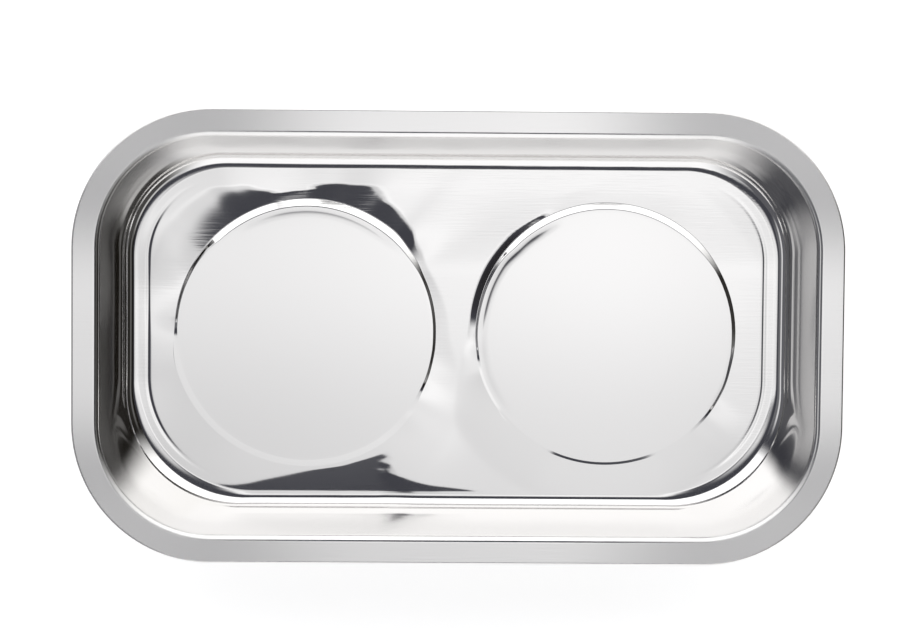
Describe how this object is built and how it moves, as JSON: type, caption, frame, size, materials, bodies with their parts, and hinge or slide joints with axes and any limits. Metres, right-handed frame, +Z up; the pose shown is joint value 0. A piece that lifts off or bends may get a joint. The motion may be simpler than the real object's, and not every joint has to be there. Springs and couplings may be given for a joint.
{
  "type": "magnetic parts tray",
  "caption": "Shallow drawn stainless tray with a flat hemmed rim and round raised magnet seats, standing on ring magnets in rubber boots that grip a steel bench and hold small parts.",
  "frame": {"origin": "on the bench under the middle of the tray", "axes": "+X along the tray's length, +Y across its width, +Z up out of the tray's mouth"},
  "size_m": [0.24, 0.1414, 0.04],
  "materials": {
    "stainless": "satin rim and walls, brighter floor",
    "boot_rubber": "moulded matt",
    "ferrite": "ground, dull grey",
    "adhesive": "cured, cloudy"
  },
  "bodies": {
    "root": {"tray_shell": "stainless", "left_boot": "boot_rubber", "right_boot": "boot_rubber", "left_magnet": "ferrite", "right_magnet": "ferrite", "left_bond": "adhesive", "right_bond": "adhesive"}
  },
  "joints": []
}
